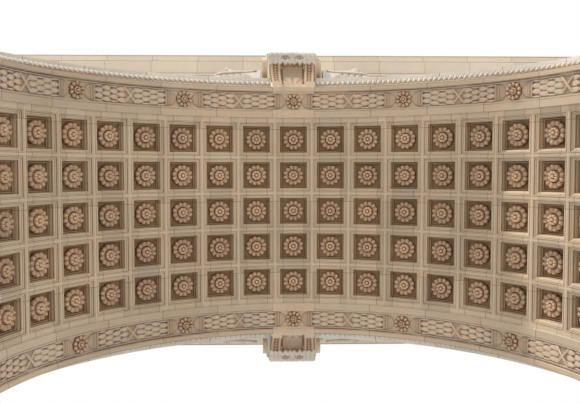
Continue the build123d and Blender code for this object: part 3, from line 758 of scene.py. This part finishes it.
smallBloom = rosetteTemplate("smallRosetteTemplate", smallRosette)
for side, face in bothFaces:
    flowers = alongBand(f"smallRosettes_{face}", smallBloom, rosetteMarble, side, arch["bundles"] + 1,
                        arch["smallRosetteRadius"], *smallRosette["jitter"], 5)
    settle(flowers, f"band_rosettes_{face}")
clear(smallBloom)
print("small rosettes carved")


# Garland: rows of scale-like leaves from a crossed ribbon out to a plain cap at each end.
# Lengths run along the arch from the middle of the bundle; a row's leaves give their place and width across.
garland = {
    "base": -0.002,  # under the panel's face
    "halfWidth": 0.15,
    "firstRow": 0.105,
    "rowPitch": 0.156,
    "rows": 4,
    "leafLength": 0.205,
    "leafRise": 0.034,
    "wideRow": ((-0.1, 0.108), (0.0, 0.112), (0.1, 0.108)),
    "closeRow": ((-0.134, 0.04), (-0.05, 0.112), (0.05, 0.112), (0.134, 0.04)),
    "bedRise": 0.01,
    "capStart": 0.73,
    "capEnd": 0.955,
    "capRise": 0.028,
    "barRise": 0.009,
    "ribbonRise": 0.036,
    "ribbonWidth": 0.052,
    "ribbonReach": 0.125,
    "jitter": (0.02, 0.0),
}


def onPanel(along, across, rise):
    angle, radius = along / arch["panelRadius"], arch["panelRadius"] - rise
    return (radius * math.sin(angle), across, radius * math.cos(angle))


# A closed shell over a grid. cell(side, v) gives along, across, rise and grime with painted shade, for side from -1 to
# 1 across it and v from 0 to 1 along it.
def shellOnPanel(name, cell, across, along):
    wide = across + 1
    cells = [cell(2 * (i / across) - 1, j / along) for j in range(along + 1) for i in range(wide)]
    faces, rim, low = gridFaces(along + 1, wide), gridRim(along + 1, wide), len(cells)
    points = [onPanel(*spot[:3]) for spot in cells] + [onPanel(*cells[at][:2], garland["base"]) for at in rim]
    # The shell's foot on the panel: grime with painted shade
    hollows = [spot[3] for spot in cells] + [0.9] * len(rim)
    for step, at in enumerate(rim):
        after = (step + 1) % len(rim)
        faces.append((at, low + step, low + after, rim[after]))

    def under(i, j):
        return low + rim.index(j * wide + i)

    for end, inner in ((0, 1), (along, along - 1)):
        faces.append(tuple([under(i, end) for i in range(wide)] + [under(across, inner), under(0, inner)]))
    faces += [(under(0, j), under(across, j), under(across, j + 1), under(0, j + 1)) for j in range(1, along - 1)]
    return outward(linkMesh(name, points, faces, hollows))


# One leaf: its tip points along the arch, its root is tucked under the leaf before
def leafOnPanel(place, width, direction):
    def cell(side, v):
        along = (v - 0.5) * garland["leafLength"] * direction
        half = width / 2 * (0.72 + 0.28 * math.sin(math.pi * min(1.0, v * 1.15))) * (1 - max(0.0, v - 0.55) ** 2 * 4.6)
        swell = garland["leafRise"] * (0.25 + 0.75 * v) * math.sin(math.pi * (0.12 + 0.72 * v))
        height = swell * (1 - 0.45 * side * side) + (0.004 if abs(side) > 0.2 else 0.0)
        bed = garland["bedRise"] * (1 - (place / garland["halfWidth"]) ** 2 * 0.5)
        # Grime with painted shade under each leaf's root and along its sides, where it meets the next
        grimeAndShade = max(0.0, 0.3 - 1.6 * v) + max(0.0, abs(side) - 0.55) * 1.7 * (0.1 < v < 0.85)
        return along, place + side * half, height + bed, grimeAndShade

    return shellOnPanel("leaf", cell, 4, 6)


def leafRow(places, direction):
    row = joined("leafRow", [leafOnPanel(place, width, direction) for place, width in places])
    for vertex in row.data.vertices:
        vertex.co.z -= arch["panelRadius"]
    return row


def bundleBed():
    def cell(side, v):
        # The bed between the leaves: grime with painted shade, lighter in the middle
        grimeAndShade = 0.6 - 0.3 * math.exp(-((v - 0.5) / 0.08) ** 2)
        rise = garland["bedRise"] * (1 - 0.7 * side ** 2)
        return (2 * v - 1) * garland["capStart"], side * garland["halfWidth"] * 0.985, rise, grimeAndShade

    return shellOnPanel("bundleBed", cell, 6, 30)


def bundleCap(direction):
    def cell(side, v):
        along = garland["capStart"] + (garland["capEnd"] - garland["capStart"]) * v
        half = garland["halfWidth"] * math.sqrt(max(0.0, 1 - max(0.0, (v - 0.12) / 0.88) ** 2)) + 0.004
        bar = garland["barRise"] if v < 0.16 or 0.26 < v < 0.40 else 0.0
        rise = (garland["capRise"] + bar) * (1 - 0.35 * side * side) * (1 - 0.35 * v)
        # Painted shade with grime in the grooves between the cap's bars and along its sides
        grimeAndShade = 0.6 if 0.16 <= v <= 0.26 or 0.40 <= v < 0.46 else 0.3 + 0.6 * max(0.0, abs(side) - 0.7)
        return along * direction, side * half, rise, grimeAndShade

    return shellOnPanel("bundleCap", cell, 8, 24)


def crossedRibbon(direction):
    def cell(side, v):
        reach = 2 * v - 1
        along = reach * garland["ribbonReach"] * direction + side * garland["ribbonWidth"] * 0.42
        rise = garland["ribbonRise"] + 0.004 * direction + (0.005 if abs(side) > 0.5 else 0.0)
        # Painted shade with grime along the ribbon's middle
        grimeAndShade = 0.5 if 0.35 < abs(side) < 0.65 else 0.05
        return along, reach * garland["halfWidth"] * 0.97, rise - 0.012 * reach ** 2, grimeAndShade

    return shellOnPanel("crossedRibbon", cell, 6, 16)


def buildGarlands():
    step = garland["rowPitch"] / arch["panelRadius"]
    parts, templates = [], []
    for direction in (-1, 1):
        for start, places in enumerate((garland["wideRow"], garland["closeRow"])):
            row = leafRow(places, direction)
            templates.append(row)
            first = direction * (garland["firstRow"] + (start + 0.5) * garland["rowPitch"]) / arch["panelRadius"]
            parts.append(repeatOnRing(
                "leaves", row, carvedMarble, garland["rows"] // 2, first, direction * 2 * step,
                arch["panelRadius"], (0, 0, 0), *garland["jitter"], 2,
            ))
        parts += [bundleCap(direction), crossedRibbon(direction)]
    parts.append(bundleBed())
    bundle = joined("bundleTemplate", parts)
    for side, face in bothFaces:
        bundles = alongBand(f"garland_{face}", bundle, carvedMarble, side, arch["bundles"], 0.0)
        settle(bundles, f"laurel_bundles_{face}")
    clear(bundle, *templates)


buildGarlands()
print("garlands carved")


# Egg and dart round the arch rings, on the quarter round under the outer lip
eggs = {
    "pitch": 0.106,
    "middle": (2.65, 5.222),  # how far out from the middle of the arch, and the radius
    "along": (0.636, 0.772),  # up the quarter round
    "out": (0.772, -0.636),  # away from it
    "halfLength": 0.082,
    "halfWidth": 0.034,
    "rise": 0.034,
    "low": 0.006,  # how far its middle lies below
    "dartEnds": (-0.07, 0.085),
    "dartHalfWidth": 0.011,
    "dartRise": 0.022,
}


def eggTemplate(side):
    points, faces, hollows = [], [], []

    def add(across, along, out, grimeAndShade):
        up, off = eggs["along"], eggs["out"]
        points.append((across, side * (up[0] * along + off[0] * out), up[1] * along + off[1] * out))
        hollows.append(grimeAndShade)

    around, levels = 8, 3
    for level in range(levels):
        tilt = math.pi / 2 * level / levels
        for step in range(around):
            angle = 2 * math.pi * step / around
            along = eggs["halfLength"] * math.cos(tilt) * math.sin(angle) - eggs["low"]
            # Painted shade with grime round each egg's foot
            grimeAndShade = 0.7 if level == 0 else 0.0
            add(eggs["halfWidth"] * math.cos(tilt) * math.cos(angle), along, eggs["rise"] * math.sin(tilt), grimeAndShade)
    add(0, -eggs["low"], eggs["rise"], 0.0)
    for level in range(levels - 1):
        faces += stripFaces(level * around, (level + 1) * around, around)
    last = (levels - 1) * around
    faces += [(last + step, last + (step + 1) % around, levels * around) for step in range(around)]
    faces.append(tuple(range(around)))
    first, half, edge, (foot, top) = len(points), eggs["pitch"] / 2, eggs["dartHalfWidth"], eggs["dartEnds"]
    for across, along in ((half - edge, foot), (half + edge, foot), (half + edge, top), (half - edge, top)):
        # Painted shade with grime at the dart's foot
        add(across, along, 0.0, 0.5)
    for along in (foot + 0.015, top):
        add(half, along, eggs["dartRise"], 0.0)
    for face in ((0, 1, 4), (1, 2, 5, 4), (2, 3, 5), (3, 0, 4, 5), (0, 3, 2, 1)):
        faces.append(tuple(first + corner for corner in face))
    return outward(linkMesh("eggTemplate", points, faces, hollows))


def buildEggs():
    middle, radius = eggs["middle"]
    step = eggs["pitch"] / radius
    count = int((math.pi / 2 - arch["keyAngle"]) / step)
    for side, face in bothFaces:
        template = eggTemplate(side)
        centre = (0, side * middle, arch["spring"])
        rows = [
            repeatOnRing("eggRow", template, carvedMarble, count, hand * (arch["keyAngle"] + step / 2), hand * step,
                         radius, centre)
            for hand in (-1, 1)
        ]
        settle(joined(f"eggAndDart_{face}", rows))
        clear(template)


buildEggs()
print("egg and dart carved")


# Keystones: rolls and beads beside a sunk panel, an acanthus leaf that hangs over it, and the scroll.
# The profile runs up the underside of the console: how far out from the middle of the arch, and the height.
keystone = {
    "foot": (2.63, 14.585),
    "lip": (3.27, 15.325),
    "pull": 0.978,
    "curlCentre": (3.27, 15.395),
    "curlRadius": 0.07,
    "neck": (2.935, 15.734),
    "scrollCentre": (3.1, 16.02),
    "scrollRadius": 0.33,
    "columns": 72,
    "steps": (43, 10, 8, 24),  # on the profile: along the sweep, the curl, the neck and the scroll
    "lipPlace": 49,  # the place on the profile where the leaf turns over
    "depth": 0.056,
    "fill": 0.985,  # of the stone's width
    "panelSunk": 0.04,
    "panelEdge": 0.5,  # of the half width
    "beadPitch": 0.085,
    "beadShadeAndGrime": 0.8,
    "rays": 8,  # of the fan in the panel, and how far out it starts and ends
    "fan": (0.16, 0.2, 0.48, 0.52),
    "hang": 0.3,  # the leaf's length on the panel
    "lobePitch": 0.115,
    "veinPitch": 0.042,
    "volute": (0.15, 0.2),  # middle of the two curls on the leaf, beside its axis and behind the lip
}


def consoleProfile():
    foot, lip, pull = keystone["foot"], keystone["lip"], keystone["pull"]
    sweep, curl, rise, scroll = keystone["steps"]
    places = []
    for step in range(sweep + 1):
        t = step / sweep
        a, b = 2 * t ** 3 - 3 * t ** 2 + 1, -2 * t ** 3 + 3 * t ** 2
        c, d = t ** 3 - 2 * t ** 2 + t, t ** 3 - t ** 2
        places.append((a * foot[0] + b * lip[0] + d * pull, a * foot[1] + b * lip[1] + c * pull))

    def addArc(centre, radius, start, turn, steps):
        for step in range(1, steps + 1):
            angle = math.radians(start + turn * step / steps)
            places.append((centre[0] + radius * math.cos(angle), centre[1] + radius * math.sin(angle)))

    addArc(keystone["curlCentre"], keystone["curlRadius"], -90, 180, curl)
    start, neck = places[-1], keystone["neck"]
    for step in range(1, rise + 1):
        places.append(tuple(near + (far - near) * step / rise for near, far in zip(start, neck)))
    addArc(keystone["scrollCentre"], keystone["scrollRadius"], -120, 210, scroll)
    return places


def ease(value, low, high):
    t = min(1.0, max(0.0, (value - low) / (high - low)))
    return t * t * (3 - 2 * t)


# Height, grime with painted shade, and painted light at a place on the console: x across, edge as a share of the half
# width, run measured from the foot, and lip where the leaf turns over
def consoleCarving(x, edge, run, lip):
    aside, panelEdge = abs(x), keystone["panelEdge"]
    if edge > panelEdge:
        turn = (edge - panelEdge) / (0.98 - panelEdge)
        wave = abs(math.sin(3 * math.pi * turn))
        bead = (0.5 + 0.5 * math.cos(2 * math.pi * run / keystone["beadPitch"])) * (1 / 3 < turn < 2 / 3)
        height = 0.004 + 0.022 * wave ** 0.6 * (1 - 0.7 * bead)
        # Painted shade with grime in the grooves of the rolls and between the beads
        grimeAndShade = 0.28 + 0.8 * (1 - wave ** 0.8) + keystone["beadShadeAndGrime"] * bead ** 2
    else:
        start, full, fading, end = keystone["fan"]
        spread = math.hypot(x, run - 0.02)
        ray = abs(math.sin(keystone["rays"] * math.atan2(x, run - 0.02)))
        fan = ease(spread, start, full) * (1 - ease(spread, fading, end)) * (1 - ease(aside, 0.19, 0.21)) * (run > 0.1)
        height = -keystone["panelSunk"] + 0.014 * ray * fan
        # Painted shade with grime, deepening up the panel under the hanging leaf, between the fan's rays and at the
        # panel's edge
        grimeAndShade = 0.3 + 0.25 * ease(run, 0.35, 0.8) + fan * 0.45 * (1 - ray ** 0.5)
        if edge > panelEdge - 0.06:
            grimeAndShade = 0.9
    back = lip - run
    # Behind the lip the painted sunlight is taken off the panel and rolls under the leaf
    paintedLight = -1.0 if back > 0 else 0.0
    lobe = abs(math.cos(math.pi * x / keystone["lobePitch"] + 0.5 * math.sin(17 * x)))
    hang = keystone["hang"] + 0.05 * abs(math.sin(math.pi * x / 0.105)) + 0.012 * math.sin(41 * x + 1)
    if back < hang:
        vein = 0.5 + 0.5 * math.cos(2 * math.pi * x / keystone["veinPitch"])
        leaf = 0.014 + 0.01 * lobe ** 0.6 + 0.003 * vein
        # Painted shade with grime between the leaf's lobes, along its veins and near its edge; the eyes and curls are
        # dark
        leafShadeAndGrime = 0.22 * (1 - lobe ** 0.5) + 0.08 * (1 - vein) ** 2 + 0.3 * ease(back, hang - 0.05, hang)
        if back > -0.02:
            ring = math.hypot(aside - keystone["volute"][0], (back - keystone["volute"][1]) * 1.1)
            above = 1 - ease(back, 0.185, 0.205)
            arc = above * max(math.exp(-((ring - 0.038) / 0.012) ** 4), 0.8 * math.exp(-((ring - 0.084) / 0.01) ** 4))
            eye = 0.7 * math.exp(-(ring / 0.014) ** 2)
            calm = math.exp(-(ring / 0.1) ** 4)
            leaf += 0.012 * calm - 0.02 * arc - 0.02 * eye
            leafShadeAndGrime = leafShadeAndGrime * (1 - 0.8 * calm) + 1.2 * arc + eye
        leaf += 0.008 * lobe * math.exp(-(back / 0.06) ** 2) + 0.01 * math.exp(-((x / 0.05) ** 2 + (back / 0.05) ** 2))
        over = ease(hang - back, 0.0, 0.02) * (1 - ease(-back, 0.32, 0.5))
        height += (leaf - height) * over
        grimeAndShade += (leafShadeAndGrime - grimeAndShade) * over
        # Painted sunlight on the leaf
        paintedLight += (1.0 - paintedLight) * over
        # Painted shade under the leaf's edge
        if back > hang - 0.016:
            grimeAndShade = 0.9
    return height, min(1.0, max(0.0, grimeAndShade)), paintedLight


def buildKeystone(side, face):
    places = consoleProfile()
    runs = [0.0]
    for before, after in zip(places, places[1:]):
        runs.append(runs[-1] + math.dist(before, after))
    last = len(places) - 1

    def cell(index, column):
        out, z = places[index]
        ahead, behind = places[min(last, index + 1)], places[max(0, index - 1)]
        length = math.dist(ahead, behind)
        edge = 2 * column / keystone["columns"] - 1
        x = edge * (z - arch["spring"]) * math.tan(arch["keyAngle"]) * keystone["fill"]
        height, grimeAndShade, paintedLight = consoleCarving(x, abs(edge), runs[index], runs[keystone["lipPlace"]])
        if abs(edge) > 0.999 or index in (0, last):
            height = -0.05 if abs(edge) < keystone["panelEdge"] else -0.004

        def lifted(rise):
            rise /= length
            return (x, side * (out + (ahead[1] - behind[1]) * rise), z - (ahead[0] - behind[0]) * rise)

        return lifted(height), lifted(-keystone["depth"]), grimeAndShade, paintedLight

    piece = shellFrom(f"keystoneCarving_{face}", len(places), keystone["columns"] + 1, cell)
    piece.data.materials.append(keystoneMarble)
    settle(piece)


for side, face in bothFaces:
    buildKeystone(side, face)
print("keystones carved")


# Spandrels: laurel leaves and ties on each wreath, leaflets on each palm, all laid on the CAD relief.
# A leaf's section gives how far across, the share of the lift, and the grime with painted shade; the rib's gives the
# lift itself.
relief = {
    "wreath": (4.6, 5.25),  # from the middle of the arch and from the springing
    "ringRadius": 0.985,
    "tubeRadius": 0.17,
    "tubeHeight": 0.04,
    "stations": 20,
    "rows": ((-1.2, 0.0, 1.2), (-0.6, 0.6)),
    "leafLength": 0.29,
    "leafHalfWidth": 0.07,
    "leafWidths": (0.5, 0.9, 1.0, 0.7, 0.08),
    "leafLifts": (0.004, 0.024, 0.036, 0.038, 0.03),
    "leafSection": ((-1, 0.1, 0.7), (-0.45, 0.9, 0.1), (0, 0.65, 0.5), (0.45, 0.9, 0.1), (1, 0.1, 0.7)),
    "tieHalfWidth": 0.09,
    "tieReach": 1.75,  # radians to each side, in so many steps
    "tieSteps": 5,
    "tieLift": 0.03,
    "palm": (3.38, 0.78),  # its root and its tip, from the middle of the arch
    "palmBottom": 4.7,  # above the springing, a little lower than the palm
    "palmStations": 26,
    "rayFrom": 9.0,
    "ribSteps": 24,
    "rib": ((-0.035, 0.01, 0.5), (0, 0.05, 0.0), (0.035, 0.01, 0.5)),
    "leaflets": 17,
    "lastLeaflet": 0.87,
    "leafletReach": 0.17,
    "tipShortening": 0.45,
    "leafletHalfWidth": 0.04,
    "sunk": -0.02,
}


def leafShell(pointAt):
    widths, lifts, section = relief["leafWidths"], relief["leafLifts"], relief["leafSection"]

    def cell(row, column):
        across, share, grimeAndShade = section[column]
        v, u = row / (len(lifts) - 1), across * widths[row]
        # Painted shade with grime along each leaf's edges and at its root
        return pointAt(v, u, lifts[row] * share), pointAt(v, u, relief["sunk"]), grimeAndShade + 0.3 * (row == 0), 0.0

    return shellFrom("leaf", len(lifts), len(section), cell)


def wreathParts(side, hand, wall):
    middle, height = relief["wreath"]

    def onWreath(theta, around, lift):
        out = relief["ringRadius"] + (relief["tubeRadius"] + lift) * math.sin(around)
        rise = relief["tubeHeight"] + (relief["tubeRadius"] + lift) * math.cos(around)
        return (hand * (middle + out * math.cos(theta)), side * (wall + rise),
                arch["spring"] + height + out * math.sin(theta))

    parts = []
    length = relief["leafLength"] / relief["ringRadius"]
    turn = relief["leafHalfWidth"] / relief["tubeRadius"]
    for way in (-1, 1):
        for station in range(relief["stations"]):
            start = -math.pi / 2 + way * math.pi * station / relief["stations"]
            for around in relief["rows"][station % 2]:
                parts.append(leafShell(
                    lambda v, u, lift: onWreath(start + way * v * length, around + u * turn, lift)
                ))
    half = relief["tieHalfWidth"] / relief["ringRadius"]
    steps = (-half, -half * 0.8, half * 0.8, half)
    for quarter in range(4):
        def cell(row, column):
            theta = math.pi * quarter / 2 + steps[row]
            around = relief["tieReach"] * (column - relief["tieSteps"]) / relief["tieSteps"]
            inner = abs(steps[row]) < half
            lift = relief["tieLift"] * (1 + 0.4 * inner)
            # Painted shade with grime along the ties' edges
            return onWreath(theta, around, lift), onWreath(theta, around, relief["sunk"]), 0.6 * (not inner), 0.0
        parts.append(shellFrom("tie", len(steps), 2 * relief["tieSteps"] + 1, cell))
    return parts


def palmParts(side, hand, surface):
    stations, (near, far) = relief["palmStations"], relief["palm"]

    def heightOut(x, z):
        hit = surface.ray_cast((hand * x, side * relief["rayFrom"], z), (0, -side, 0))[0]
        return None if hit is None else abs(hit.y)

    def edges(x):
        steps = [arch["spring"] + relief["palmBottom"] + 0.01 * step for step in range(200)]
        found = [z for z in steps if heightOut(x, z) is not None]
        return min(found), max(found)

    table = [edges(near + (far - near) * station / stations) for station in range(stations + 1)]

    def onPalm(u, v, lift):
        u = min(max(u, 0.0), 1.0)
        index = min(int(u * stations), stations - 1)
        share = u * stations - index
        low, high = (here * (1 - share) + after * share for here, after in zip(table[index], table[index + 1]))
        x = near + (far - near) * u
        z = low + (high - low) * min(max(v, 0.06), 0.94)
        return (hand * x, side * ((heightOut(x, z) or 0.0) + lift), z)

    parts = []
    for leaflet in range(relief["leaflets"]):
        start = leaflet / (relief["leaflets"] - 1) * relief["lastLeaflet"]
        reach = relief["leafletReach"] * (1 - relief["tipShortening"] * start)
        for way in (-1, 1):
            lean = way * relief["leafletHalfWidth"] * 0.6
            parts.append(leafShell(
                lambda v, u, lift: onPalm(start + v * reach - u * lean,
                                          0.5 + way * 0.47 * v ** 0.75 + u * 0.08 * (1 - v), lift)
            ))

    def cell(row, column):
        v, lift, grimeAndShade = relief["rib"][column]
        u = row / relief["ribSteps"]
        # Painted shade with grime along the rib's edges
        return onPalm(u, 0.5 + v, lift), onPalm(u, 0.5 + v, relief["sunk"]), grimeAndShade, 0.0

    return parts + [shellFrom("rib", relief["ribSteps"] + 1, len(relief["rib"]), cell)]


for side, face in bothFaces:
    parts = []
    for flank in ("left", "right"):
        name = f"spandrel_relief_{face}_{flank}"
        mesh, (low, high) = nodes[name].data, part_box(name)
        hand = 1 if low[0] > 0 else -1
        surface = BVHTree.FromPolygons([point.co for point in mesh.vertices],
                                       [tuple(polygon.vertices) for polygon in mesh.polygons])
        parts += wreathParts(side, hand, min(abs(low[1]), abs(high[1]))) + palmParts(side, hand, surface)
    leaves = joined(f"spandrelLeaves_{face}", parts)
    leaves.data.materials.append(carvedMarble)
    settle(leaves)
print("spandrels carved")


# Floor, backdrop and lamps
studio = {
    "floorHalf": 60.0,
    "floorColour": (0.88, 0.87, 0.855, 1),
    "floorRoughness": 0.9,
    "sky": 0.7,
    "skyColour": (0.93, 0.96, 1.0, 1),
    "sunStrength": 2.4,
    "sunAngle": 3.0,
    "sunColour": (1.0, 0.96, 0.89),
    "sunFrom": (-0.55, -1.0, 0.44),
}


def buildStudio():
    half = studio["floorHalf"]
    floor = linkMesh("floor", [(-half, -half, 0), (half, -half, 0), (half, half, 0), (-half, half, 0)],
                     [(0, 1, 2, 3)], flat=True)
    paint = bpy.data.materials.new("floorPaint")
    paint.use_nodes = True
    fill(paint.node_tree.nodes["Principled BSDF"].inputs,
         {"Base Color": studio["floorColour"], "Roughness": studio["floorRoughness"]})
    floor.data.materials.append(paint)
    scene.world = bpy.data.worlds.new("studio")
    scene.world.use_nodes = True
    tree = scene.world.node_tree
    tree.nodes.clear()
    lit = grow("ShaderNodeBackground", {"Color": studio["skyColour"], "Strength": studio["sky"]}, tree)
    seen = grow("ShaderNodeBackground", {"Color": (1, 1, 1, 1), "Strength": 1.0}, tree)
    rays = tree.nodes.new("ShaderNodeLightPath").outputs
    direct = larger(rays["Is Glossy Ray"], rays["Is Transmission Ray"])
    direct = larger(rays["Is Camera Ray"], direct)
    mix = grow("ShaderNodeMixShader", {"Fac": direct, 1: lit.outputs[0], 2: seen.outputs[0]})
    grow("ShaderNodeOutputWorld", {"Surface": mix.outputs[0]})
    sun = bpy.data.lights.new("sun", "SUN")
    sun.energy = studio["sunStrength"]
    sun.color = studio["sunColour"]
    sun.angle = math.radians(studio["sunAngle"])
    lamp = addObject("sun", sun)
    lamp.matrix_world = Vector(studio["sunFrom"]).to_track_quat("Z", "Y").to_matrix().to_4x4()
    scene.view_settings.view_transform = "Standard"


buildStudio()
print("studio built")
